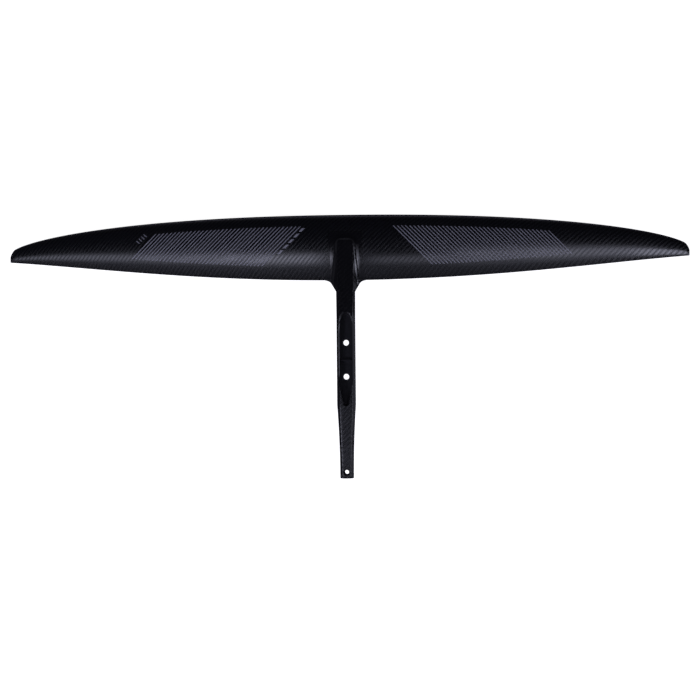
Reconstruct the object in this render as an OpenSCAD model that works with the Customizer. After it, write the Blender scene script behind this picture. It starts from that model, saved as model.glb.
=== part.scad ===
// Hydrofoil front wing with its fuselage tongue, in millimetres.
// +X runs along the span, +Y points forwards and +Z points up, towards the mast.
// The origin is midway between the two mast screws, on the floor of the mast pocket.
// Every sub-part is its own node, and they are drawn one by one at the end of the file.

/* [Wing] */
// wing span from tip to tip
span = 1016; // [700:2:1300]
// how far the leading edge lies ahead of the origin at the centre
root_front = 213.4; // [180:0.1:250]
// how far the trailing edge lies ahead of the origin at the centre
root_back = 117; // [90:0.1:140]
// how far the leading edge falls back between the centre and the tip
edge_sweep = 50.1; // [20:0.1:90]
// power that sets how late the leading edge starts to curve back
sweep_power = 2.3; // [1.5:0.05:3]
// power that sets how round the leading edge is at the tip
tip_round = 0.603; // [0.4:0.001:0.9]
// how far the trailing edge comes forward between the centre and the tip
edge_rise = 33; // [0:0.1:60]
// how far the tips hang below the centre of the wing
tip_drop = 45; // [0:1:90]
// power that sets how late the wing starts to bend down
drop_power = 1.8; // [1:0.1:3]
// thickness over chord at the centre
root_ratio = 0.125; // [0.09:0.005:0.16]
// thickness over chord at the tip
tip_ratio = 0.1; // [0.07:0.005:0.14]
// height of the camber line over chord
camber_ratio = 0.03; // [0:0.005:0.05]
// thickness of the trailing edge
edge_thick = 0.8; // [0.5:0.1:2]

/* [Fuselage] */
// height of the fuselage top above the pocket floor, which is the depth of the pocket
top_z = 9; // [6:0.5:14]
// height of the underside
keel_z = -12; // [-18:0.5:-9]
// how far the top slopes down towards the tail
top_fall = 3; // [0:0.5:6]
// how far the underside rises towards the tail
keel_rise = 3.5; // [0:0.5:5]
// half width of the tongue at the mast pocket
tongue_half = 13.65; // [12:0.05:18]
// half width of the tongue at the tail
tail_half = 9.9; // [8:0.1:14]
// how far behind the origin the tail ends
tail_back = 174.5; // [140:0.5:240]
// how far ahead of the origin the flat top of the spine ends, over the wing
spine_front = 176; // [150:1:200]
// half width of the flat top over the wing
flat_wing = 11.8; // [8:0.1:13]
// half width of the flat top at the tail
flat_tail = 6.3; // [5:0.1:9]

/* [Mast pocket] */
// front end of the pocket
pocket_front = 67; // [55:0.5:75]
// rear end of the pocket
pocket_back = 67.6; // [55:0.1:75]
// half width of the pocket
pocket_half = 9.7; // [7:0.1:11]
// length of the rounded nose of the pocket
pocket_nose = 28; // [15:1:40]
// radius of the blunt rear end of the pocket
pocket_tail_r = 4; // [2:0.5:6]
// height of the cross rib on the pocket floor
rib_height = 3; // [1:0.5:6]
// length of the cross rib at its foot
rib_length = 9.2; // [4:0.2:14]

/* [Screw holes] */
// distance between the two mast screws
mast_screw_pitch = 50; // [40:1:90]
// radius of a mast screw hole, for an M8 screw
mast_hole_r = 4.2; // [3.2:0.1:5.2]
// distance from the origin back to the tail screw
tail_screw_back = 165; // [130:1:230]
// radius of the tail screw hole, for an M6 screw
tail_hole_r = 3.2; // [2.6:0.1:4.2]
// radius of the sunk ring round the tail screw hole
tail_ring_r = 4.85; // [4:0.05:7]

/* [Laminate] */
// thickness of the wing skins
skin_wall = 1.2; // [0.6:0.1:2.5]
// gap left between two parts that are glued together
glue_gap = 0.03; // [0.01:0.01:0.1]
// where the cores stop along the half span, as a share of it
core_reach = 0.93; // [0.8:0.01:0.95]
// half width of the solid block at the centre of the wing
centre_half = 30; // [20:1:45]

/* [Graphics] */
// width of one stripe
stripe_width = 1.8; // [0.8:0.1:4]
// distance from one stripe to the next along the span
stripe_pitch = 6; // [3:0.05:12]
// number of stripes on the left half
stripes_left = 37; // [0:1:60]
// number of stripes on the right half
stripes_right = 39; // [0:1:60]
// distance from the centre to the first stripe on the left, at its front end
stripe_start_left = 66; // [50:1:120]
// distance from the centre to the first stripe on the right, at its front end
stripe_start_right = 71; // [50:1:120]
// distance from the leading edge back to the stripes
stripe_front_gap = 16.5; // [8:0.5:30]
// distance from the trailing edge forward to the stripes
stripe_back_gap = 19.5; // [8:0.5:30]

/* [Hidden] */
half_span = span / 2;
part_z = -3;                 // the plane where the upper and lower halves meet
graphic_lift = 0.08;         // clearance under the graphics, for the flats of the skin
graphic_thick = 0.14;
skirt = 0.3;                 // thickness of the fuselage shells where they fade out on the wing
shell_lift = 0.08;           // glue line between a fuselage shell and the wing skin
bevel_share = 0.5;           // share of the height that is left at the foot of the bevel
nose_corner = 6;             // corner radius of the spine's flat nose
web_width = 8;               // width over which the foot of the spine fades into the wing
round_steps = 48;

// stations along the half span, as shares of it, closer together towards the tip
wing_steps = [0, 0.06, 0.12, 0.18, 0.24, 0.3, 0.36, 0.42, 0.48, 0.54, 0.6, 0.65, 0.7, 0.74, 0.78, 0.82,
              0.855, 0.885, 0.91, core_reach, core_reach + 0.004, 0.95, 0.965, 0.977, 0.986, 0.993, 0.9975, 1];
core_steps = [for (t = wing_steps) if (t > 0.061 && t <= core_reach) t];
// stations along the chord, from the trailing edge to the leading edge
outer_steps = [1, 0.9, 0.8, 0.7, 0.61, 0.52, 0.43, 0.35, 0.27, 0.2, 0.14, 0.09, 0.05, 0.022, 0.006, 0];
// where the cores and the spar start and end along the chord
core_front = 0.115;
spar_front = 0.29;
spar_back = 0.41;
core_back = 0.785;
bond_step = 0.003;
front_steps = [core_front, 0.2, spar_front - bond_step];
spar_steps = [spar_front, spar_back];
back_steps = [spar_back + bond_step, 0.5, 0.6, 0.7, core_back];
block_steps = [core_front, 0.2, spar_front, spar_back, 0.5, 0.6, 0.7, core_back];
inner_steps = [core_front - 0.015, core_front, 0.2, spar_front, spar_back, 0.5, 0.6, 0.7,
               core_back, core_back + 0.015, 1];

function mix(a, b, k) = a + (b - a) * k;
function clamp01(k) = min(1, max(0, k));
function smooth01(k) = clamp01(k) * clamp01(k) * (3 - 2 * clamp01(k));

// ---- the wing's shape; t is the share of the half span and u the share of the chord ----
function front_y(t) = root_front - edge_sweep * (1 - pow(max(0, 1 - pow(t, sweep_power)), tip_round))
                      - 5 * pow(max(0, (t - 0.985) / 0.015), 2);
function back_y(t) = root_back + edge_rise * (1.277 * t * t - 0.129 * pow(t, 4) - 0.148 * pow(t, 6));
function chord(t) = front_y(t) - back_y(t);
function ref_z(t) = part_z - tip_drop * pow(t, drop_power);
function camber(u, t) = camber_ratio * 4 * u * (1 - u) * chord(t);
function half_thick(u, t) =
    5 * mix(root_ratio, tip_ratio, t) * chord(t)
      * (0.2969 * sqrt(u) - 0.126 * u - 0.3516 * u * u + 0.2843 * pow(u, 3) - 0.1036 * pow(u, 4))
    + edge_thick / 2 * u * mix(0.4, 1, chord(t) / chord(0));
// a point at height share k of the section: 1 is the upper surface, -1 the lower, 0 the camber line
function wing_point(x, u, k) =
    let (t = abs(x) / half_span)
    [x, front_y(t) - u * chord(t), ref_z(t) + camber(u, t) + k * half_thick(u, t)];
// the inside of a skin: on the camber line at the edges and tips, and a wall's thickness in elsewhere
function is_hollow(u, t) = u >= core_front && u <= core_back && t <= core_reach;
function inner_point(x, u, side) =
    let (t = abs(x) / half_span,
         inside = is_hollow(u, t) ? half_thick(u, t) - skin_wall : glue_gap / 3)
    [x, front_y(t) - u * chord(t), ref_z(t) + camber(u, t) + side * inside];
function core_point(x, u, side) =
    let (t = abs(x) / half_span)
    [x, front_y(t) - u * chord(t), ref_z(t) + camber(u, t) + side * (half_thick(u, t) - skin_wall - glue_gap)];
// heights of the wing's two surfaces at a place in plan
function chord_share(x, y) =
    let (t = abs(x) / half_span) clamp01((front_y(t) - y) / chord(t));
function upper_z(x, y) = wing_point(x, chord_share(x, y), 1)[2];
function lower_z(x, y) = wing_point(x, chord_share(x, y), -1)[2];

// ---- a solid through a row of rings with the same number of points ----
module loft(rings) {
    n = len(rings[0]);
    m = len(rings);
    points = [for (r = rings) for (p = r) p];
    faces = concat(
        [[for (j = [n - 1:-1:0]) j]],
        [for (i = [0:m - 2]) for (j = [0:n - 1]) for (h = [0, 1])
            let (a = i * n + j, b = i * n + (j + 1) % n, c = a + n, d = b + n)
            h == 0 ? [a, b, d] : [a, d, c]],
        [[for (j = [0:n - 1]) (m - 1) * n + j]]);
    polyhedron(points, faces, convexity = 6);
}

function reversed(list) = [for (i = [len(list) - 1:-1:0]) list[i]];
function both_sides(steps) = concat([for (i = [len(steps) - 1:-1:1]) -steps[i]], steps);

// ---- wing skins ----
module wing_skin(side) {
    rings = [for (s = both_sides(wing_steps))
        let (x = s * half_span,
             ring = concat(
                [for (u = outer_steps) u == 0 ? inner_point(x, 0, side) : wing_point(x, u, side)],
                [for (u = inner_steps) inner_point(x, u, side)]))
        side > 0 ? reversed(ring) : ring];
    loft(rings);
}

module wing_upper_skin() color([0.05, 0.05, 0.06]) wing_skin(1);
module wing_lower_skin() color([0.05, 0.05, 0.06]) wing_skin(-1);

// ---- cores, spar and centre block, all between the skins ----
module wing_core(steps, x_list) {
    rings = [for (x = x_list) concat(
        [for (u = steps) core_point(x, u, -1)],
        [for (u = reversed(steps)) core_point(x, u, 1)])];
    loft(rings);
}
core_root_x = centre_half + 0.3;
right_x = concat([core_root_x], [for (t = core_steps) t * half_span]);
left_x = [for (x = reversed(right_x)) -x];

module left_front_core() color([0.75, 0.72, 0.6]) wing_core(front_steps, left_x);
module right_front_core() color([0.75, 0.72, 0.6]) wing_core(front_steps, right_x);
module left_rear_core() color([0.75, 0.72, 0.6]) wing_core(back_steps, left_x);
module right_rear_core() color([0.75, 0.72, 0.6]) wing_core(back_steps, right_x);
module left_spar() color([0.16, 0.16, 0.17]) wing_core(spar_steps, left_x);
module right_spar() color([0.16, 0.16, 0.17]) wing_core(spar_steps, right_x);
module centre_block() color([0.14, 0.14, 0.15]) wing_core(block_steps, [-centre_half, 0, centre_half]);

// ---- fuselage outline in plan ----
tongue_front = 100.4;        // where the gussets to the wing start
slope_start = 66;            // distance behind the origin where the tail starts to taper
function tail_share(y) = clamp01((-slope_start - y) / (tail_back - slope_start));
function end_round(y) = let (e = clamp01((1.6 - tail_back - y) / 1.6)) 1 - sqrt(1 - e * e);
function plan_half(y) =
    (y > root_back + 0.2) ? 31 - 6 * clamp01((y - root_back - 0.2) / 18) :
    (y > tongue_front) ? 13.9 + 0.61 * (y - tongue_front) + 6.85 * pow(max(0, (y - 110) / 7.2), 4.5) :
    (y > -slope_start) ? tongue_half + 0.25 * clamp01((y - 60) / (tongue_front - 60)) :
    mix(tongue_half, tail_half, 1 - pow(1 - tail_share(y), 2)) - 1.6 * end_round(y);
function flat_half(y) =
    (y > tongue_front) ? flat_wing :
    (y > 40) ? mix(pocket_half, flat_wing, smooth01((y - 40) / (tongue_front - 40))) :
    mix(pocket_half, flat_tail, tail_share(y)) - 1.6 * end_round(y);
function top_of(y) = top_z - top_fall * pow(tail_share(y), 1.15) - 1.2 * end_round(y);
function keel_of(y) = keel_z + keel_rise * pow(tail_share(y), 1.2) + 0.8 * end_round(y);
// 0 on the tongue, 1 over the wing
function on_wing(y) = smooth01((y - tongue_front) / 11.6);
// width of the bevel: the whole way to the side on the tongue, narrow over the wing
function bevel_of(y) = mix(plan_half(y) - 0.8 - flat_half(y), 2.2, on_wing(y));

// share of the full height at distance x from the centre line
function height_share(x, y, nose) =
    let (f = flat_half(y),
         q = max(0, norm([max(0, abs(x) - f + nose_corner), max(0, y - nose + nose_corner)]) - nose_corner),
         qb = bevel_of(y),
         qo = min(plan_half(y) - f, qb + web_width),
         s = clamp01((q - qb) / (qo - qb)))
    q <= qb ? 1 - (1 - bevel_share) * q / qb
            : mix(bevel_share - 0.12 * s * s, bevel_share * (1 - s) * (1 - s), on_wing(y));

function shell_base(x, y, side) =
    (y > root_back) ? (side > 0 ? upper_z(x, y) : lower_z(x, y)) + side * shell_lift
                    : part_z + side * glue_gap / 3;
function shell_face(x, y, side, nose) =
    let (b = (y > root_back ? shell_base(x, y, side) + side * skirt : part_z + side * 0.6),
         h = side > 0 ? top_of(y) : keel_of(y))
    b + (h - b) * height_share(x, y, nose);

shell_rows = [188, 186.5, 185, 183.5, 182, 180.5, 179, 177.5, 176, 174.5, 172.5, 170, 166, 161, 154.6, 150, 145.9,
              141, 136.3, 131.5, 126.6, 122, 119, 117.05, 116.9, 116.2, 115.2, 114, 112, 109, 106, 103, 100.4,
              94, 86, 75, 60, 40, 20, -10, -40, -58, -66, -73, -80, -88, -97, -107, -118, -130, -140, -149];
tail_rows = [-149 - glue_gap, -157, -165, -172.9, -173.5, -174.1, -tail_back];
// columns across half of the top: over the flat, down the bevel, then out to the edge
function row_columns(y) =
    let (f = flat_half(y), b = f + bevel_of(y), w = plan_half(y))
    [0, 0.6 * f, f, mix(f, b, 0.5), b, mix(b, w, 0.2), mix(b, w, 0.45), mix(b, w, 0.7), w];

function face_points(y, side, nose) =
    let (c = row_columns(y), face = concat([for (i = [len(c) - 1:-1:1]) -c[i]], c))
    [for (x = face) [x, y, shell_face(x, y, side, nose)]];

module fuselage_shell(side) {
    nose = spine_front - (side > 0 ? 0 : 5);
    rings = [for (y = shell_rows)
        let (w = plan_half(y), base = [w, 0.5 * w, 0, -0.5 * w, -w],
             ring = concat(face_points(y, side, nose),
                           [for (x = base) [x, y, shell_base(x, y, side)]]))
        side > 0 ? ring : reversed(ring)];
    loft(rings);
}

// the solid tail end, with the whole section of the fuselage
module tail_solid() {
    loft([for (y = tail_rows)
        concat(face_points(y, 1, spine_front), reversed(face_points(y, -1, spine_front)))]);
}

// ---- mast pocket outline ----
nose_points = 12;
arc_points = 8;
pocket_side = concat(
    [for (i = [0:nose_points]) let (d = pocket_nose * pow(i / nose_points, 1.8))
        [pocket_half * sqrt(1 - pow(1 - d / pocket_nose, 2.2)), pocket_front - d]],
    [[pocket_half, -35]],
    [for (i = [0:arc_points]) let (a = 90 * i / arc_points)
        [pocket_tail_r * cos(a), -(pocket_back - pocket_tail_r) - pocket_tail_r * sin(a)]]);
pocket_outline = concat(pocket_side,
    [for (i = [len(pocket_side) - 2:-1:1]) [-pocket_side[i][0], pocket_side[i][1]]]);

module pocket_prism(low, high, inset = 0) {
    translate([0, 0, low]) linear_extrude(height = high - low)
        polygon([for (p = pocket_outline)
            [p[0] * (1 - inset / pocket_half), p[1] * (1 - inset / pocket_front)]]);
}

// ---- inner prisms of the fuselage, with chamfered corners ----
module core_prism(half, low, high, back, front) {
    c = 2.5;
    translate([0, front, 0]) rotate([90, 0, 0]) linear_extrude(height = front - back)
        polygon([[-half + c, low], [half - c, low], [half, low + c], [half, high - c],
                 [half - c, high], [-half + c, high], [-half, high - c], [-half, low + c]]);
}
seat_low = -8.5;
front_core_box = [8.6, -9.4, 6.4, 71, 111];
rear_core_box = [6.6, -7.6, 3.6, -145, -72];
module box_prism(b, gap) core_prism(b[0] - gap, b[1] + gap, b[2] - gap, b[3] + gap, b[4] - gap);

module inner_cuts() {
    box_prism(front_core_box, 0);
    box_prism(rear_core_box, 0);
}

// ---- screw ferrules ----
ferrule_r = 6;
ferrule_foot_r = 9;
ferrule_foot = 2.2;
sink_r = 8.2;                // sunk seat for an M8 countersunk head
mast_screws = [mast_screw_pitch / 2, -mast_screw_pitch / 2];

module mast_ferrule_space(gap) {
    for (y = mast_screws) translate([0, y, 0]) rotate_extrude($fn = round_steps)
        polygon([[0, keel_z - 1], [ferrule_foot_r + gap, keel_z - 1],
                 [ferrule_foot_r + gap, keel_z + ferrule_foot + gap],
                 [ferrule_r + gap, keel_z + ferrule_foot + gap],
                 [ferrule_r + gap, 1], [0, 1]]);
}
tail_top = top_of(-tail_screw_back) - 0.1;
tail_low = keel_of(-tail_screw_back) + 0.1;
tail_sleeve_r = 5.2;
module tail_ferrule_space(gap) {
    translate([0, -tail_screw_back, tail_low - 2])
        cylinder(r = tail_sleeve_r + gap, h = tail_top - tail_low + 4, $fn = round_steps);
}

module mast_screw_ferrules() color([0.12, 0.12, 0.13])
    for (y = mast_screws) translate([0, y, 0])
        rotate_extrude($fn = round_steps)
            polygon([[mast_hole_r, 0], [ferrule_r, 0], [ferrule_r, keel_z + ferrule_foot],
                     [ferrule_foot_r, keel_z + ferrule_foot], [ferrule_foot_r, keel_z],
                     [sink_r, keel_z], [mast_hole_r, keel_z + sink_r - mast_hole_r]]);

module tail_screw_ferrule() color([0.12, 0.12, 0.13])
    translate([0, -tail_screw_back, 0]) rotate_extrude($fn = round_steps)
        polygon([[tail_hole_r, tail_low], [tail_sleeve_r, tail_low], [tail_sleeve_r, tail_top],
                 [tail_ring_r, tail_top], [tail_hole_r, tail_top - tail_ring_r + tail_hole_r]]);

// ---- fuselage nodes ----
module fuselage_upper_shell() color([0.05, 0.05, 0.06]) difference() {
    fuselage_shell(1);
    pocket_prism(part_z - 1, top_z + 5);
    inner_cuts();
}

module fuselage_lower_shell() color([0.05, 0.05, 0.06]) difference() {
    fuselage_shell(-1);
    pocket_prism(seat_low, part_z + 1);
    inner_cuts();
    mast_ferrule_space(glue_gap);
}

// the solid seat under the mast, with the cross rib between the two screws
module mast_seat_block() color([0.1, 0.1, 0.11]) difference() {
    union() {
        pocket_prism(seat_low + glue_gap, 0, glue_gap);
        translate([-pocket_half + 0.3, -0.6, 0]) rotate([90, 0, 90])
        linear_extrude(height = 2 * pocket_half - 0.6)
            polygon([[-rib_length / 2, -1], [rib_length / 2, -1], [rib_length / 2, 0], [1.2, rib_height],
                     [-1.2, rib_height], [-rib_length / 2, 0]]);
    }
    mast_ferrule_space(glue_gap);
}

module fuselage_front_core() color([0.75, 0.72, 0.6]) box_prism(front_core_box, glue_gap);
module fuselage_rear_core() color([0.75, 0.72, 0.6]) box_prism(rear_core_box, glue_gap);
// the solid end of the fuselage, which the tail screw passes through
module tail_block() color([0.05, 0.05, 0.06]) difference() {
    tail_solid();
    tail_ferrule_space(glue_gap);
}

// ---- graphics, thin films on the upper skin ----
// film along a line in plan: side is +1 on the right half and -1 on the left
module film(x_list, y_list, half_width) {
    rings = [for (i = [0:len(x_list) - 1])
        let (xa = x_list[i] - half_width, xb = x_list[i] + half_width, y = y_list[i],
             za = upper_z(xa, y) + graphic_lift, zb = upper_z(xb, y) + graphic_lift)
        [[xa, y, za], [xb, y, zb], [xb, y, zb + graphic_thick], [xa, y, za + graphic_thick]]];
    loft([for (r = rings) reversed(r)]);
}

film_steps = 7;
function run_of(x0, y0, s, n) =
    n == 0 ? s : run_of(x0, y0, y0 - stripe_back_gap - back_y((x0 + s) / half_span), n - 1);

module stripe_panel(side, start, count) {
    for (k = [0:1:count - 1]) {
        x0 = start + k * stripe_pitch;
        y0 = front_y(x0 / half_span) - stripe_front_gap;
        run = run_of(x0, y0, 40, 8);
        film([for (i = [0:film_steps]) side * (x0 + run * i / film_steps)],
             [for (i = [0:film_steps]) y0 - run * i / film_steps],
             stripe_width / sqrt(2));
    }
}

module left_stripe_panel() color([0.5, 0.5, 0.54]) stripe_panel(-1, stripe_start_left, stripes_left);
module right_stripe_panel() color([0.5, 0.5, 0.54]) stripe_panel(1, stripe_start_right, stripes_right);

// plain dashes in a slanting row, in place of a name
dash_count = 5;
module left_dash_mark() color([0.62, 0.62, 0.66])
    for (k = [0:dash_count - 1]) {
        x0 = -61 - 8 * k;
        y0 = 194 - 8 * k;
        film([for (i = [0:2]) x0 - 2.6 * i], [for (i = [0:2]) y0 - 2.6 * i], 2.2);
    }

// a slanting row of short plain strokes, in place of a size mark
tick_count = 4;
module left_tick_marks() color([0.62, 0.62, 0.66])
    for (k = [0:tick_count - 1]) {
        x0 = -311.5 + 3.6 * k;
        y0 = 179 + 3.2 * k;
        film([for (i = [0:2]) x0 + 2.3 * i], [for (i = [0:2]) y0 - 2 * i], 0.95);
    }

wing_upper_skin();
wing_lower_skin();
left_front_core();
right_front_core();
left_rear_core();
right_rear_core();
left_spar();
right_spar();
centre_block();
fuselage_upper_shell();
fuselage_lower_shell();
mast_seat_block();
fuselage_front_core();
fuselage_rear_core();
tail_block();
mast_screw_ferrules();
tail_screw_ferrule();
left_stripe_panel();
right_stripe_panel();
left_dash_mark();
left_tick_marks();
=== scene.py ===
import math

import bmesh
import bpy
import numpy as np
from mathutils import Matrix, Vector


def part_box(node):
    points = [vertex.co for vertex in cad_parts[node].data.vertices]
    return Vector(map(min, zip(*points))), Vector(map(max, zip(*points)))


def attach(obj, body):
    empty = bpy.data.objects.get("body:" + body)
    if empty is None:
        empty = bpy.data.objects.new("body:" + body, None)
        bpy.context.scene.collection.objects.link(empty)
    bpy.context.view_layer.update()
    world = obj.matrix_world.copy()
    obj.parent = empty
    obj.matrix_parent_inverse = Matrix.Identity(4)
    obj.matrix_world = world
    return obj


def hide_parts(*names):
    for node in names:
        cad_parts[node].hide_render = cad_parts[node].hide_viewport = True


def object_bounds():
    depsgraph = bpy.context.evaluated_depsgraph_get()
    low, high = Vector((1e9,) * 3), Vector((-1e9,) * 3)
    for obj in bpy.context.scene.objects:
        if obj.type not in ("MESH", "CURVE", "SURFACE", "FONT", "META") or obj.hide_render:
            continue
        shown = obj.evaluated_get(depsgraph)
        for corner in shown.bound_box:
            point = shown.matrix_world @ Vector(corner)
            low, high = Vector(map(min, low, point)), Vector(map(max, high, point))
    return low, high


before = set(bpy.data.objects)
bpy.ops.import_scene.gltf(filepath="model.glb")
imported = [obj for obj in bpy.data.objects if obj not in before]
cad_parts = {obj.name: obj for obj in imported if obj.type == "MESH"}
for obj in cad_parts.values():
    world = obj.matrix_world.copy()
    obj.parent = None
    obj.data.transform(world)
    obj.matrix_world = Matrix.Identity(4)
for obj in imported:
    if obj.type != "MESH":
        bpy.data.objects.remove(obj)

cad_low, cad_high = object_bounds()

# Lengths in this file are millimetres in the CAD frame, and become metres when a mesh is made.
MM = 0.001
BODY = "root"


def box_mm(node):
    low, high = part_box(node)
    return np.array(low) / MM, np.array(high) / MM


# ---- sizes, from the CAD nodes' boxes ----
SKIN_LOW, SKIN_HIGH = box_mm("wing_upper_skin")
UPPER_LOW, UPPER_HIGH = box_mm("fuselage_upper_shell")
LOWER_LOW, LOWER_HIGH = box_mm("fuselage_lower_shell")
TAIL_LOW, TAIL_HIGH = box_mm("tail_block")
SEAT_LOW, SEAT_HIGH = box_mm("mast_seat_block")
MAST_LOW, MAST_HIGH = box_mm("mast_screw_ferrules")
SLEEVE_LOW, SLEEVE_HIGH = box_mm("tail_screw_ferrule")
HALF_SPAN = SKIN_HIGH[0]
ROOT_FRONT = SKIN_HIGH[1]
ROOT_BACK = SKIN_LOW[1]
TOP_Z = UPPER_HIGH[2]
KEEL_Z = LOWER_LOW[2]
TAIL_BACK = -TAIL_LOW[1]
TAIL_FRONT = TAIL_HIGH[1]
TAIL_HOLE_Y = (SLEEVE_LOW[1] + SLEEVE_HIGH[1]) / 2
TAIL_SLEEVE_R = SLEEVE_HIGH[0]
FERRULE_FOOT_R = MAST_HIGH[0]
MAST_HOLE_Y = (MAST_HIGH[1] - FERRULE_FOOT_R, MAST_LOW[1] + FERRULE_FOOT_R)
POCKET_FRONT = SEAT_HIGH[1]
POCKET_BACK = -SEAT_LOW[1]
SEAT_BOTTOM = SEAT_LOW[2]

# ---- sizes that no box gives ----
PART_Z = -3.0               # the plane where the upper and lower halves meet
SEAM = 0.01                 # half the gap between the halves
GAP = 0.03                  # gap between two parts that are glued together
POCKET_HALF = 9.7
MAST_HOLE_R = 4.2
FERRULE_R = 6.0
FERRULE_FOOT = 2.2
SINK_R = 8.2                # the sunk seats under the mast screws
TAIL_HOLE_R = 3.2
TAIL_RING_R = 4.85          # the sunk ring round the tail screw hole

# ---- the wing's shape; t is the share of the half span and u the share of the chord ----
EDGE_SWEEP = 50.1
SWEEP_POWER = 2.3
TIP_ROUND = 0.603
EDGE_RISE = 33
TIP_DROP = 45
DROP_POWER = 1.8
ROOT_RATIO = 0.125
TIP_RATIO = 0.1
CAMBER_RATIO = 0.03
EDGE_THICK = 0.8


def front_y(t):
    return (ROOT_FRONT - EDGE_SWEEP * (1 - np.maximum(0, 1 - t**SWEEP_POWER) ** TIP_ROUND)
            - 5 * np.maximum(0, (t - 0.985) / 0.015) ** 2)


def back_y(t):
    return ROOT_BACK + EDGE_RISE * (1.277 * t * t - 0.129 * t**4 - 0.148 * t**6)


def chord(t):
    return front_y(t) - back_y(t)


def ref_z(t):
    return PART_Z - TIP_DROP * t**DROP_POWER


def half_thick(u, t):
    size = 5 * (ROOT_RATIO + (TIP_RATIO - ROOT_RATIO) * t) * chord(t)
    shape = 0.2969 * np.sqrt(u) - 0.126 * u - 0.3516 * u**2 + 0.2843 * u**3 - 0.1036 * u**4
    edge = EDGE_THICK / 2 * u * (0.4 + 0.6 * chord(t) / (ROOT_FRONT - ROOT_BACK))
    return size * shape + edge


def section_z(u, t, k):
    """Height at share k of the section: 1 is the upper surface, -1 the lower and 0 the camber line."""
    return ref_z(t) + CAMBER_RATIO * 4 * u * (1 - u) * chord(t) + k * half_thick(u, t)


def surface_z(x, y, side):
    t = np.abs(x) / HALF_SPAN
    u = np.clip((front_y(t) - y) / chord(t), 0, 1)
    return section_z(u, t, side)


# ---- the fuselage's shape ----
SHELL_FRONT = 188.0
SPINE_FRONT = 176.0
KEEL_NOSE_STEP = 5          # how much further back the nose is underneath
NOSE_CORNER = 6.0           # corner radius of the spine's flat nose
TONGUE_FRONT = 100.4        # where the gussets to the wing start
SLOPE_START = 66.0          # distance behind the origin where the tail starts to taper
ROOT_HALF = 31
TONGUE_HALF = 13.65
TAIL_HALF = 9.9
FLAT_WING = 11.8            # half widths of the flat top, over the wing and at the tail's end
FLAT_TAIL = 6.3
TOP_FALL = 3
KEEL_RISE = 3.5
END_RADIUS = 1.6            # rounding of the tail's end
WING_BEVEL = 2.2            # width of the bevel over the wing
WEB_WIDTH = 8.0             # width over which the foot of the spine fades into the wing
EDGE_ROUND = 0.25           # softness of the crease at the edge of the flat top
LIFT = 0.08                 # glue line between a shell and the wing skin
SKIRT = 0.3                 # thickness of the shells where they fade out on the wing


def smooth01(k):
    k = np.clip(k, 0, 1)
    return k * k * (3 - 2 * k)


def tail_share(y):
    return np.clip((-SLOPE_START - y) / (TAIL_BACK - SLOPE_START), 0, 1)


def end_round(y):
    e = np.clip((END_RADIUS - TAIL_BACK - y) / END_RADIUS, 0, 1)
    return 1 - np.sqrt(1 - e * e)


def plan_half(y):
    if y > ROOT_BACK + 0.2:
        return ROOT_HALF - 6 * np.clip((y - ROOT_BACK - 0.2) / 18, 0, 1)
    if y > TONGUE_FRONT:
        return 13.9 + 0.61 * (y - TONGUE_FRONT) + 6.85 * max(0, (y - 110) / 7.2) ** 4.5
    if y > -SLOPE_START:
        return TONGUE_HALF + 0.25 * np.clip((y - 60) / (TONGUE_FRONT - 60), 0, 1)
    k = 1 - (1 - tail_share(y)) ** 2
    return TONGUE_HALF + (TAIL_HALF - TONGUE_HALF) * k - END_RADIUS * end_round(y)


def flat_half(y):
    if y > TONGUE_FRONT:
        return FLAT_WING
    if y > 40:
        return POCKET_HALF + (FLAT_WING - POCKET_HALF) * smooth01((y - 40) / (TONGUE_FRONT - 40))
    return POCKET_HALF + (FLAT_TAIL - POCKET_HALF) * tail_share(y) - END_RADIUS * end_round(y)


def top_of(y):
    return TOP_Z - TOP_FALL * tail_share(y) ** 1.15 - 1.2 * end_round(y)


def keel_of(y):
    return KEEL_Z + KEEL_RISE * tail_share(y) ** 1.2 + 0.8 * end_round(y)


def on_wing(y):
    """0 on the tongue and 1 over the wing."""
    return smooth01((y - TONGUE_FRONT) / 11.6)


def bevel_of(y):
    k = on_wing(y)
    return (plan_half(y) - 0.8 - flat_half(y)) * (1 - k) + WING_BEVEL * k


def height_share(x, y, nose):
    """Share of the full height that is left at distance x from the centre line."""
    f, w = flat_half(y), plan_half(y)
    ax = np.maximum(0, np.abs(x) - f + NOSE_CORNER)
    ay = max(0.0, y - nose + NOSE_CORNER)
    raw = np.hypot(ax, ay) - NOSE_CORNER
    q = 0.5 * (raw + np.sqrt(raw * raw + EDGE_ROUND**2))
    qb = bevel_of(y)
    qo = min(w - f, qb + WEB_WIDTH)
    s = np.clip((q - qb) / (qo - qb), 0, 1)
    k = on_wing(y)
    outer = (0.5 - 0.12 * s * s) * (1 - k) + 0.5 * (1 - s) ** 2 * k
    return np.where(q <= qb, 1 - 0.5 * q / qb, outer)


def shell_base(x, y, side):
    if y > ROOT_BACK:
        return surface_z(x, y, side) + side * LIFT
    return np.full_like(x, PART_Z + side * SEAM)


def shell_face(x, y, side, nose):
    if y > ROOT_BACK:
        base = shell_base(x, y, side) + side * SKIRT
    else:
        base = np.full_like(x, PART_Z + side * 0.6)
    far = top_of(y) if side > 0 else keel_of(y)
    return base + (far - base) * height_share(x, y, nose)


def face_columns(y):
    """Columns across the top, close together at the crease and on the web."""
    f = flat_half(y)
    b, w = f + bevel_of(y), plan_half(y)
    half = np.concatenate([
        np.linspace(0, f - 0.8, 5),
        np.linspace(f - 0.6, f + 0.6, 7),
        np.linspace(f + 0.8, b, 5)[:-1],
        b + (w - b) * np.linspace(0, 1, 16) ** 1.15,
    ])
    return np.concatenate([-half[:0:-1], half])


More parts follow.
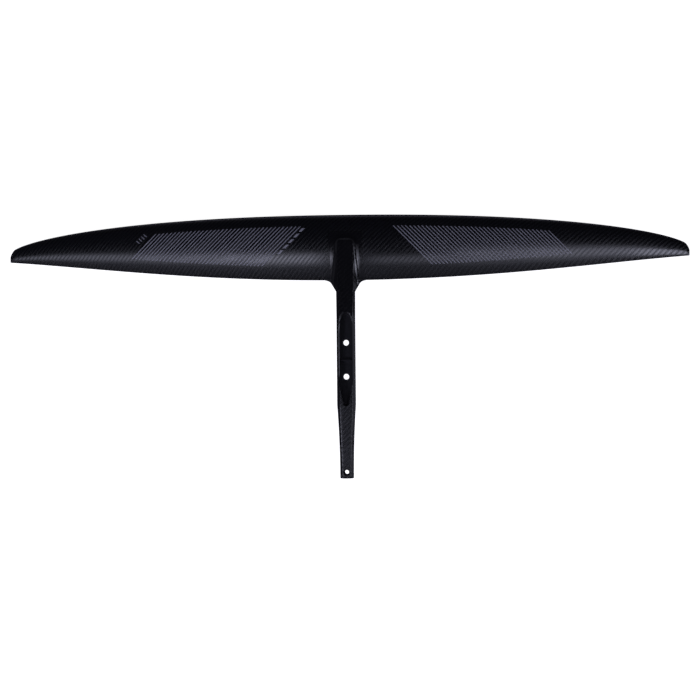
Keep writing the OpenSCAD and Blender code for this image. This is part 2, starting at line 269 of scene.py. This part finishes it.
# ---- meshes ----
def mesh_of(name, verts, faces, box=None):
    """A mesh from points in millimetres, kept inside box, which is a CAD node's lowest and highest corner."""
    verts = np.asarray(verts, float)
    if box is not None:
        verts = np.clip(verts, box[0], box[1])
    mesh = bpy.data.meshes.new(name)
    mesh.from_pydata((verts * MM).tolist(), [], faces)
    mesh.validate()
    mesh.polygons.foreach_set("use_smooth", [True] * len(mesh.polygons))
    mesh.update()
    return mesh


def outward(mesh):
    """Turns the faces so that they all face out."""
    bm = bmesh.new()
    bm.from_mesh(mesh)
    bmesh.ops.recalc_face_normals(bm, faces=bm.faces)
    bm.to_mesh(mesh)
    bm.free()
    return mesh


def loft_data(rings, first=0):
    """Points and faces of a closed solid through rings with equal numbers of points."""
    m, n = len(rings), len(rings[0])
    faces = [[first + j for j in range(n - 1, -1, -1)]]
    for i in range(m - 1):
        for j in range(n):
            a, b = first + i * n + j, first + i * n + (j + 1) % n
            faces.append([a, b, b + n, a + n])
    faces.append([first + (m - 1) * n + j for j in range(n)])
    return [p for r in rings for p in r], faces


def loft(name, rings, box=None):
    verts, faces = loft_data(rings)
    return outward(mesh_of(name, verts, faces, box))


def cut(mesh, *cutters, operation="DIFFERENCE"):
    """mesh with each cutter mesh taken away from it, or joined to it."""
    host = bpy.data.objects.new("host", mesh)
    bpy.context.scene.collection.objects.link(host)
    tools = []
    for cutter in cutters:
        tool = bpy.data.objects.new("tool", cutter)
        bpy.context.scene.collection.objects.link(tool)
        tools.append(tool)
        mod = host.modifiers.new("cut", "BOOLEAN")
        mod.operation, mod.object, mod.solver = operation, tool, "EXACT"
    bpy.context.view_layer.update()
    deps = bpy.context.evaluated_depsgraph_get()
    made = bpy.data.meshes.new_from_object(host.evaluated_get(deps))
    for obj in [host, *tools]:
        bpy.data.objects.remove(obj)
    made.polygons.foreach_set("use_smooth", [True] * len(made.polygons))
    return made


ROUND_STEPS = 72
ROUND = [2 * math.pi * i / ROUND_STEPS for i in range(ROUND_STEPS)]


def lathe(profile, y, first=0):
    """Points and faces of a turned ring on the centre line; profile is a closed list of radius and height."""
    verts, faces, n = [], [], len(profile)
    for i, a in enumerate(ROUND):
        verts += [(r * math.cos(a), y + r * math.sin(a), z) for r, z in profile]
        here, there = first + i * n, first + (i + 1) % ROUND_STEPS * n
        faces += [[here + j, there + j, there + (j + 1) % n, here + (j + 1) % n] for j in range(n)]
    return verts, faces


def post(r, low, high, y):
    """A closed round post, used only to cut holes."""
    ring = [(r * math.cos(a), y + r * math.sin(a)) for a in ROUND]
    return loft("post", [[(x, v, z) for x, v in ring] for z in (low, high)])


def piece(name, mesh, replaces, sharp, finish):
    """A visible piece, in place of the CAD nodes in replaces. Edges of more than sharp degrees stay crisp."""
    mesh.set_sharp_from_angle(angle=math.radians(sharp))
    mesh.materials.clear()
    mesh.materials.append(finish)
    obj = bpy.data.objects.new(name, mesh)
    bpy.context.scene.collection.objects.link(obj)
    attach(obj, BODY)
    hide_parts(*replaces)
    return obj


# ---- materials ----
def new_material(name):
    mat = bpy.data.materials.new(name)
    mat.use_nodes = True
    return mat, mat.node_tree, mat.node_tree.nodes["Principled BSDF"]


def math_node(tree, kind, a, b=None):
    node = tree.nodes.new("ShaderNodeMath")
    node.operation = kind
    for socket, value in zip(node.inputs, (a, b)):
        if isinstance(value, (int, float)):
            socket.default_value = value
        elif value is not None:
            tree.links.new(value, socket)
    return node.outputs[0]


def mix_colour(tree, share, a, b):
    node = tree.nodes.new("ShaderNodeMix")
    node.data_type = "RGBA"
    tree.links.new(share, node.inputs["Factor"])
    for key, value in (("A", a), ("B", b)):
        socket = [s for s in node.inputs if s.name == key and s.type == "RGBA"][0]
        if isinstance(value, tuple):
            socket.default_value = (*value, 1)
        else:
            tree.links.new(value, socket)
    return [s for s in node.outputs if s.type == "RGBA"][0]


def noise_node(tree, place, scale, detail):
    node = tree.nodes.new("ShaderNodeTexNoise")
    node.inputs["Scale"].default_value = scale
    node.inputs["Detail"].default_value = detail
    tree.links.new(place, node.inputs["Vector"])
    return node.outputs["Fac"]


TOW = 1.75 * MM             # width of one tow of the cloth
# The weft's colour is a little lighter than the warp's. This is painted sheen for the way tows of the two
# directions catch the light differently; the tows themselves are one colour.
WARP = (0.0045, 0.0045, 0.006)
WEFT_WITH_SHEEN = (0.0055, 0.0055, 0.007)
WARP_ROUGH = 0.13


def twill_material(name, tow_height, weft_rough):
    """Two by two twill cloth under a clear coat, its wales running forwards and to the right in plan."""
    mat, tree, shader = new_material(name)
    place = tree.nodes.new("ShaderNodeTexCoord").outputs["Object"]
    split = tree.nodes.new("ShaderNodeSeparateXYZ")
    tree.links.new(place, split.inputs[0])

    def calc(kind, a, b=None):
        return math_node(tree, kind, a, b)

    def hump(v):
        d = calc("SUBTRACT", calc("MULTIPLY", calc("FRACT", v), 2.0), 1.0)
        return calc("SUBTRACT", 1.0, calc("MULTIPLY", d, d))

    across = calc("DIVIDE", calc("ADD", split.outputs[0], split.outputs[2]), TOW)
    along = calc("DIVIDE", split.outputs[1], TOW)
    step = calc("SUBTRACT", calc("FLOOR", across), calc("FLOOR", along))
    over = calc("LESS_THAN", calc("FLOORED_MODULO", step, 4.0), 1.5)
    warp_hump, weft_hump = hump(across), hump(along)
    gap = calc("SUBTRACT", warp_hump, weft_hump)
    height = calc("ADD", weft_hump, calc("MULTIPLY", gap, over))

    # Here the weft tows get the lighter colour, their painted sheen.
    cloth = mix_colour(tree, over, WEFT_WITH_SHEEN, WARP)
    patch = calc("MULTIPLY", noise_node(tree, place, 55, 2), 0.3)
    shade = mix_colour(tree, patch, cloth, tuple(0.4 * c for c in WEFT_WITH_SHEEN))
    tree.links.new(shade, shader.inputs["Base Color"])
    bump = tree.nodes.new("ShaderNodeBump")
    bump.inputs["Strength"].default_value = 1.0
    bump.inputs["Distance"].default_value = tow_height * MM
    tree.links.new(height, bump.inputs["Height"])
    tree.links.new(bump.outputs[0], shader.inputs["Normal"])
    rough = calc("ADD", calc("MULTIPLY", over, WARP_ROUGH - weft_rough), weft_rough)
    tree.links.new(rough, shader.inputs["Roughness"])
    shader.inputs["Coat Weight"].default_value = 0.25
    shader.inputs["Coat Roughness"].default_value = 0.10
    return mat


def plain_material(name, colour, rough, metallic=0.0, scale=400.0, change=0.25, coat=0.0, shine=0.5):
    """An even finish with a slight procedural mottle."""
    mat, tree, shader = new_material(name)
    place = tree.nodes.new("ShaderNodeTexCoord").outputs["Object"]
    share = math_node(tree, "MULTIPLY", noise_node(tree, place, scale, 3), change)
    mottled = mix_colour(tree, share, colour, tuple(0.5 * c for c in colour))
    tree.links.new(mottled, shader.inputs["Base Color"])
    shader.inputs["Roughness"].default_value = rough
    shader.inputs["Metallic"].default_value = metallic
    shader.inputs["Coat Weight"].default_value = coat
    shader.inputs["Specular IOR Level"].default_value = shine
    return mat


carbon = twill_material("carbon_twill", 0.006, 0.30)
moulded = twill_material("moulded_twill", 0.004, 0.20)
tail_twill = twill_material("tail_twill", 0.0055, 0.32)
laminate = plain_material("carbon_laminate", (0.012, 0.012, 0.014), 0.45)
seat_finish = plain_material("moulded_carbon", (0.020, 0.020, 0.023), 0.6, shine=0.1)
foam = plain_material("foam_core", (0.72, 0.68, 0.55), 0.9, scale=900, change=0.5)
ferrule_finish = plain_material("dark_anodised", (0.02, 0.02, 0.022), 0.4, metallic=0.6)
sleeve_finish = plain_material("black_oxide", (0.004, 0.004, 0.005), 0.5, shine=0.15)
silver = plain_material("silver_print", (0.29, 0.29, 0.335), 0.35, change=0.15, coat=0.1, shine=0.3)

# ---- wing ----
# The stations stand closer together towards the tips, and the chord's points towards both edges.
half_t = 1 - (1 - np.linspace(0, 1, 150)) ** 1.8
STATIONS = np.concatenate([-half_t[:0:-1], half_t])
OUTER_U = ((1 - np.cos(np.linspace(0, math.pi, 73))) / 2)[::-1]
INNER_U = np.array([0.01, 0.05, 0.2, 0.4, 0.6, 0.8, 1.0])


def wing_half(name, side, node):
    rings = []
    for s in STATIONS:
        t = abs(s)
        x = s * HALF_SPAN
        outer_z = section_z(OUTER_U, t, side)
        outer_z[-1] = ref_z(t) + side * SEAM
        inner_z = section_z(INNER_U, t, 0) + side * SEAM
        ring = [(x, front_y(t) - u * chord(t), z) for u, z in zip(OUTER_U, outer_z)]
        ring += [(x, front_y(t) - u * chord(t), z) for u, z in zip(INNER_U, inner_z)]
        rings.append(ring)
    piece(name, loft(name, rings, box_mm(node)), [node], 50, carbon)


wing_half("wing_upper_looks", 1, "wing_upper_skin")
wing_half("wing_lower_looks", -1, "wing_lower_skin")

# ---- fuselage shells and tail block ----
# Rows are no further apart than ROW_STEP, with one at each mark, where the shape changes.
ROW_STEP = 1.2
END_MARKS = (1.6, 1.2, 0.8, 0.45, 0.2, 0.07)
MARKS = [*range(186, 168, -2), 117.05, 116.9, 115.5, 114, 112, TONGUE_FRONT, 60, 40, -SLOPE_START,
         *(ahead - TAIL_BACK for ahead in END_MARKS)]


def rows_between(front, back):
    stops = [front] + [m for m in MARKS if back < m < front] + [back]
    rows = []
    for a, b in zip(stops, stops[1:]):
        rows += list(np.linspace(a, b, max(1, math.ceil((a - b) / ROW_STEP)) + 1))[:-1]
    return rows + [back]


def section_row(y, side, nose):
    x = face_columns(y)
    return [(a, y, b) for a, b in zip(x, shell_face(x, y, side, nose))]


def shell(name, side, nose, box):
    rings = []
    for y in rows_between(SHELL_FRONT, TAIL_FRONT):
        base = plan_half(y) * np.array([1, 0.5, 0, -0.5, -1])
        foot = [(a, y, b) for a, b in zip(base, shell_base(base, y, side))]
        rings.append(section_row(y, side, nose) + foot)
    return loft(name, rings, box)


# The pocket's outline: a rounded nose, straight sides, a taper and a round rear end.
POCKET_NOSE = 28.0
TAPER_Y = -35
POCKET_TAIL_R = 4.0


def pocket_side():
    """The pocket's outline on the right, from its front to its rear end."""
    r = POCKET_TAIL_R
    d = POCKET_NOSE * np.linspace(0, 1, 33) ** 1.8
    nose = [(POCKET_HALF * math.sqrt(1 - (1 - v / POCKET_NOSE) ** 2.2), POCKET_FRONT - v) for v in d]
    straight = [(POCKET_HALF, y) for y in np.linspace(POCKET_FRONT - POCKET_NOSE, TAPER_Y, 20)[1:]]
    taper = [(POCKET_HALF + (r - POCKET_HALF) * k, TAPER_Y + (r - TAPER_Y - POCKET_BACK) * k)
             for k in np.linspace(0, 1, 12)[1:-1]]
    end = [(r * math.cos(a), r - POCKET_BACK - r * math.sin(a)) for a in np.linspace(0, math.pi / 2, 13)]
    return nose + straight + taper + end


side_points = pocket_side()
outline = np.array(side_points + [(-x, y) for x, y in side_points[-2:0:-1]])
turn = np.roll(outline, -1, 0) - np.roll(outline, 1, 0)
out_way = np.stack([-turn[:, 1], turn[:, 0]], 1) / np.hypot(turn[:, 0], turn[:, 1])[:, None]


def outline_at(offset, z, share=1):
    """The pocket's outline at height z, moved out by offset times share."""
    return [(x, y, z) for x, y in outline + offset * share * out_way]


# The pocket's eased rim, as distance out from the wall and depth under the top face. It is eased
# less and less towards the pocket's rear end.
RIM = ((0, 1.2), (0.4, 0.88), (0.8, 0.6), (1.3, 0.35), (1.8, 0.16), (2.3, 0.03), (2.5, -0.1))
EASE_BACK, EASE_LENGTH, LEAST_EASE = -38, 18, 0.2
ease = (LEAST_EASE + (1 - LEAST_EASE) * smooth01((outline[:, 1] - EASE_BACK) / EASE_LENGTH))[:, None]
rim_rings = [outline_at(out, TOP_Z - deep, ease) for out, deep in RIM]
pocket_cutter = loft("pocket_cutter", [outline_at(0, -6), *rim_rings])
upper_mesh = cut(shell("fuselage_upper_looks", 1, SPINE_FRONT, (UPPER_LOW, UPPER_HIGH)), pocket_cutter)
upper = piece("fuselage_upper_looks", upper_mesh, ["fuselage_upper_shell"], 40, moulded)

foot_top = KEEL_Z + FERRULE_FOOT
hole_cutters = []
for y in MAST_HOLE_Y:
    hole_cutters.append(post(FERRULE_R + GAP, KEEL_Z - 2, 2, y))
    hole_cutters.append(post(FERRULE_FOOT_R + GAP, KEEL_Z - 2, foot_top + GAP, y))
keel_nose = SPINE_FRONT - KEEL_NOSE_STEP
lower_mesh = cut(shell("fuselage_lower_looks", -1, keel_nose, (LOWER_LOW, LOWER_HIGH)), *hole_cutters)
lower = piece("fuselage_lower_looks", lower_mesh, ["fuselage_lower_shell"], 40, moulded)

tail_rings = [section_row(y, 1, SPINE_FRONT) + section_row(y, -1, SPINE_FRONT)[::-1]
              for y in rows_between(TAIL_FRONT, -TAIL_BACK)]
tail_mesh = cut(loft("tail_block_looks", tail_rings, (TAIL_LOW, TAIL_HIGH)),
                post(TAIL_SLEEVE_R + GAP, KEEL_Z - 2, TOP_Z + 2, TAIL_HOLE_Y))
tail = piece("tail_block_looks", tail_mesh, ["tail_block"], 40, moulded)

# The cloth shows more on the tail than on the spine and the pocket's rails.
TAIL_CLOTH_Y = -24.0
for obj in (upper, lower, tail):
    obj.data.materials.append(tail_twill)
    for face in obj.data.polygons:
        face.material_index = int(face.center.y < TAIL_CLOTH_Y * MM)

# ---- mast seat: the pocket floor with rounded inner corners, and the cross rib ----
FILLET = 1.6
RIB_Y = -0.6
CREST_R, CREST_Z = 1.7, 1.3
seat_rings = [outline_at(-GAP, SEAT_BOTTOM)]
for a in np.linspace(0, math.pi / 2, 8):
    seat_rings.append(outline_at(-GAP - FILLET * (1 - math.cos(a)), FILLET * (1 - math.sin(a))))
seat_mesh = loft("seat", seat_rings, (SEAT_LOW, SEAT_HIGH))
crest = [(CREST_R * math.sin(a), CREST_Z + CREST_R * math.cos(a)) for a in np.radians(np.linspace(0, 75, 9))]
rib_side = crest + [(2.5, 0.8), (3.4, 0.3), (4.6, 0.05), (4.6, -1)]
rib = [(-y, z) for y, z in rib_side[::-1]] + rib_side[1:]
rib_ends = (-POCKET_HALF + 0.2, POCKET_HALF - 0.2)
rib_mesh = loft("rib", [[(x, RIB_Y + y, z) for y, z in rib] for x in rib_ends])
seat_mesh = cut(seat_mesh, rib_mesh, operation="UNION")
seat_mesh = cut(seat_mesh, *[post(FERRULE_R + GAP, -20, 5, y) for y in MAST_HOLE_Y])
piece("mast_seat_looks", seat_mesh, ["mast_seat_block"], 40, seat_finish)

# ---- ferrules ----
CHAMFER = 0.25
mast_profile = [(MAST_HOLE_R, -CHAMFER), (MAST_HOLE_R + CHAMFER, 0), (FERRULE_R, 0), (FERRULE_R, foot_top),
                (FERRULE_FOOT_R, foot_top), (FERRULE_FOOT_R, KEEL_Z), (SINK_R, KEEL_Z),
                (MAST_HOLE_R, KEEL_Z + SINK_R - MAST_HOLE_R)]
verts, faces = [], []
for y in MAST_HOLE_Y:
    more_verts, more_faces = lathe(mast_profile, y, len(verts))
    verts += more_verts
    faces += more_faces
mast_mesh = outward(mesh_of("mast_ferrules", verts, faces))
piece("mast_ferrules_looks", mast_mesh, ["mast_screw_ferrules"], 30, ferrule_finish)

low_z, high_z = SLEEVE_LOW[2], SLEEVE_HIGH[2]
sleeve_profile = [(TAIL_HOLE_R, low_z + CHAMFER), (TAIL_HOLE_R + CHAMFER, low_z), (TAIL_SLEEVE_R, low_z),
                  (TAIL_SLEEVE_R, high_z), (TAIL_RING_R, high_z),
                  (TAIL_HOLE_R, high_z - TAIL_RING_R + TAIL_HOLE_R)]
sleeve_mesh = outward(mesh_of("tail_ferrule", *lathe(sleeve_profile, TAIL_HOLE_Y)))
piece("tail_ferrule_looks", sleeve_mesh, ["tail_screw_ferrule"], 30, sleeve_finish)

# ---- graphics: thin films that follow the upper skin ----
FILM_LOW, FILM_HIGH = 0.03, 0.11
STRIPE_PITCH = 6.0
STRIPE_WIDTH = 1.25
FRONT_GAP = 16.5            # from the leading edge back to the stripes
BACK_GAP = 19.5             # from the trailing edge forward to the stripes


def film_rings(x_list, y_list, half_width):
    rings = []
    for x, y in zip(x_list, y_list):
        xs = x + half_width * np.array([-1, -0.33, 0.33, 1])
        zs = surface_z(xs, np.full(4, y), 1)
        top = [(a, y, z + FILM_HIGH) for a, z in zip(xs, zs)]
        under = [(a, y, z + FILM_LOW) for a, z in zip(xs, zs)]
        rings.append(top + under[::-1])
    return rings


def films(name, parts, node):
    """One piece made of several films, each given by its rings."""
    verts, faces = [], []
    for rings in parts:
        more_verts, more_faces = loft_data(rings, len(verts))
        verts += more_verts
        faces += more_faces
    mesh = outward(mesh_of(name, verts, faces, box_mm(node)))
    piece(name, mesh, [node], 40, silver)


def stripe(side, x0):
    """One slanting stripe whose front end is x0 from the centre line."""
    y0 = front_y(x0 / HALF_SPAN) - FRONT_GAP
    run = 40.0
    for _ in range(8):
        run = y0 - BACK_GAP - back_y((x0 + run) / HALF_SPAN)
    along = np.linspace(0, run, 30)
    return film_rings(side * (x0 + along), y0 - along, STRIPE_WIDTH / math.sqrt(2))


def stripes(side, start, count):
    return [stripe(side, start + k * STRIPE_PITCH) for k in range(count)]


def dash(k):
    along = np.linspace(0, 5.2, 5)
    return film_rings(-61 - 8 * k - along, 194 - 8 * k - along, 2.2)


def tick(k):
    return film_rings(-311.5 + 3.6 * k + np.linspace(0, 4.6, 5), 179 + 3.2 * k - np.linspace(0, 4, 5), 0.95)


films("left_stripes_looks", stripes(-1, 66.0, 37), "left_stripe_panel")
films("right_stripes_looks", stripes(1, 71.0, 39), "right_stripe_panel")
films("left_dashes_looks", [dash(k) for k in range(5)], "left_dash_mark")
films("left_ticks_looks", [tick(k) for k in range(4)], "left_tick_marks")


# ---- finishes of the inner CAD nodes, which stay as they are ----
def refinish(nodes, finish):
    for node in nodes:
        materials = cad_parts[node].data.materials
        materials.clear()
        materials.append(finish)


refinish(["left_front_core", "right_front_core", "left_rear_core", "right_rear_core",
          "fuselage_front_core", "fuselage_rear_core"], foam)
refinish(["left_spar", "right_spar", "centre_block"], laminate)

# ---- floor ----
FLOOR_HALF = 4              # metres
scene = bpy.context.scene
floor_z = cad_low.z - 0.001
corners = [(x * FLOOR_HALF, y * FLOOR_HALF, floor_z) for x, y in ((-1, -1), (1, -1), (1, 1), (-1, 1))]
plane = bpy.data.meshes.new("floor")
plane.from_pydata(corners, [], [[0, 1, 2, 3]])
floor = bpy.data.objects.new("floor", plane)
scene.collection.objects.link(floor)
floor_mat, _, floor_shader = new_material("pale_floor")
floor_shader.inputs["Base Color"].default_value = (0.8, 0.8, 0.8, 1)
floor_shader.inputs["Roughness"].default_value = 0.9
floor_shader.inputs["Specular IOR Level"].default_value = 0.0
floor_shader.inputs["Emission Color"].default_value = (1, 1, 1, 1)
floor_shader.inputs["Emission Strength"].default_value = 0.97
plane.materials.append(floor_mat)
# The floor only backs the view, as a lit sheet far below would: it casts no light on the object.
floor.visible_diffuse = floor.visible_glossy = floor.visible_shadow = False

# ---- the room: dim overhead, and paler in a band above the horizon, where pale walls would stand ----
LIGHT_TINT = (0.79, 0.80, 1.0)
ROOM_GLOW = 0.015
BAND_GLOW = 0.12
world = bpy.data.worlds.new("room")
scene.world = world
world.use_nodes = True
sky = world.node_tree
room = sky.nodes["Background"]
room.inputs["Color"].default_value = (*LIGHT_TINT, 1)


def fade(value, start, end):
    """Rises smoothly from 0 at start to 1 at end."""
    node = sky.nodes.new("ShaderNodeMapRange")
    node.interpolation_type = "SMOOTHSTEP"
    node.inputs["From Min"].default_value = start
    node.inputs["From Max"].default_value = end
    sky.links.new(value, node.inputs["Value"])
    return node.outputs["Result"]


ways = sky.nodes.new("ShaderNodeSeparateXYZ")
sky.links.new(sky.nodes.new("ShaderNodeTexCoord").outputs["Generated"], ways.inputs[0])
band = math_node(sky, "SUBTRACT", fade(ways.outputs[2], 0.0, 0.12), fade(ways.outputs[2], 0.45, 0.75))
strength = math_node(sky, "ADD", math_node(sky, "MULTIPLY", band, BAND_GLOW), ROOM_GLOW)
sky.links.new(strength, room.inputs["Strength"])
# The camera itself sees plain white behind the floor.
backdrop = sky.nodes.new("ShaderNodeBackground")
backdrop.inputs["Color"].default_value = (1, 1, 1, 1)
backdrop.inputs["Strength"].default_value = 0.95
pick = sky.nodes.new("ShaderNodeMixShader")
sky.links.new(sky.nodes.new("ShaderNodeLightPath").outputs["Is Camera Ray"], pick.inputs[0])
sky.links.new(room.outputs[0], pick.inputs[1])
sky.links.new(backdrop.outputs[0], pick.inputs[2])
sky.links.new(pick.outputs[0], sky.nodes["World Output"].inputs["Surface"])


# ---- lights ----
def softbox(name, centre, size, glow, facing=(0, 0, -1)):
    """A soft rectangular light, size wide and deep, whose face shines with radiance glow.

    Its width lies along X or Y.
    """
    light = bpy.data.lights.new(name, "AREA")
    light.shape = "RECTANGLE"
    light.size, light.size_y = size[0] * MM, size[1] * MM
    light.energy = glow * math.pi * light.size * light.size_y
    light.color = LIGHT_TINT
    obj = bpy.data.objects.new(name, light)
    scene.collection.objects.link(obj)
    out = -Vector(facing).normalized()
    long_way = Vector((1, 0, 0)) if abs(out.x) < 0.5 else Vector((0, 1, 0))
    depth_way = out.cross(long_way).normalized()
    place = Matrix((depth_way.cross(out), depth_way, out)).transposed().to_4x4()
    place.translation = Vector(centre) * MM
    obj.matrix_world = place
    obj.visible_camera = False
    return obj


# Overhead strips in a row, each brightest along its middle, give the long highlight behind mid chord.
# Those that overlap lie at slightly different heights. Each has its middle, its size, its glow and its rise.
STRIP_Z = 2400
STRIPS = {
    "left_strip": ((-1220, -400), (1860, 440), 2.5, 0),
    "left_root_strip": ((-595, -400), (610, 440), 1.4, 20),
    "middle_strip": ((-135, -445), (310, 330), 0.25, 0),
    "tongue_strip": ((-135, -165), (310, 220), 0.25, 0),
    "right_root_strip": ((270, -445), (500, 330), 1.55, 0),
    "right_strip": ((1040, -370), (1040, 660), 1.9, 0),
    "right_tip_strip": ((1230, -330), (660, 740), 0.6, 20),
}
CORE_GLOW = 0.65            # share of a strip's glow that comes from its middle
CORE_DEPTH = 0.55
CORE_RISE = 10
for name, (middle, size, glow, rise) in STRIPS.items():
    softbox(name, (*middle, STRIP_Z + rise), size, (1 - CORE_GLOW) * glow)
    core_size = (size[0] - 60, CORE_DEPTH * size[1])
    softbox(name + "_core", (*middle, STRIP_Z + rise + CORE_RISE), core_size, CORE_GLOW * glow)
softbox("front_strip", (0, 2600, 900), (3000, 300), 1.0, (0, -0.95, -0.31))
softbox("aft_strip", (-300, -850, STRIP_Z), (3600, 420), 0.2)
# The key stands behind on the left and shades the left side of the pocket.
key = softbox("key", (-1900, -2600, 1700), (420, 420), 100, (0.522, 0.714, -0.467))
key.visible_glossy = False
# These light the pocket's rim and the web on the right, and the flanks.
softbox("right_high", (2300, -100, 900), (420, 1000), 4.0, (-0.93, 0, -0.36))
softbox("right_mid", (1600, -420, 2200), (440, 350), 5.0, (-0.588, 0, -0.81))
softbox("right_low_fill", (900, 0, -450), (1500, 500), 0.25, (-0.88, 0, 0.47))
softbox("left_low_fill", (-900, 0, -450), (1500, 500), 0.02, (0.88, 0, 0.47))

# ---- camera: it looks down from 3 m, leaning a little to the right, and is turned half a degree ----
LEAN, TURN = math.radians(3.07), math.radians(0.487)
DISTANCE = 3000.0
VIEW_WIDTH = 1029.56        # what the view takes in at the origin's height
AIM_RIGHT, AIM_UP = 5.692, 14.355
back = Vector((math.sin(LEAN), 0, math.cos(LEAN)))
flat_right = Vector((math.cos(LEAN), 0, -math.sin(LEAN)))
flat_up = Vector((0, 1, 0))
right = math.cos(TURN) * flat_right - math.sin(TURN) * flat_up
up = math.sin(TURN) * flat_right + math.cos(TURN) * flat_up
aim = right * AIM_RIGHT + up * AIM_UP
camera_data = bpy.data.cameras.new("camera")
camera_data.sensor_width = 36
camera_data.lens = camera_data.sensor_width * DISTANCE / VIEW_WIDTH
camera_data.clip_end = 50
camera = bpy.data.objects.new("camera", camera_data)
scene.collection.objects.link(camera)
place = Matrix((right, up, back)).transposed().to_4x4()
place.translation = (aim + back * DISTANCE) * MM
camera.matrix_world = place
scene.camera = camera
scene.view_settings.view_transform = "Standard"
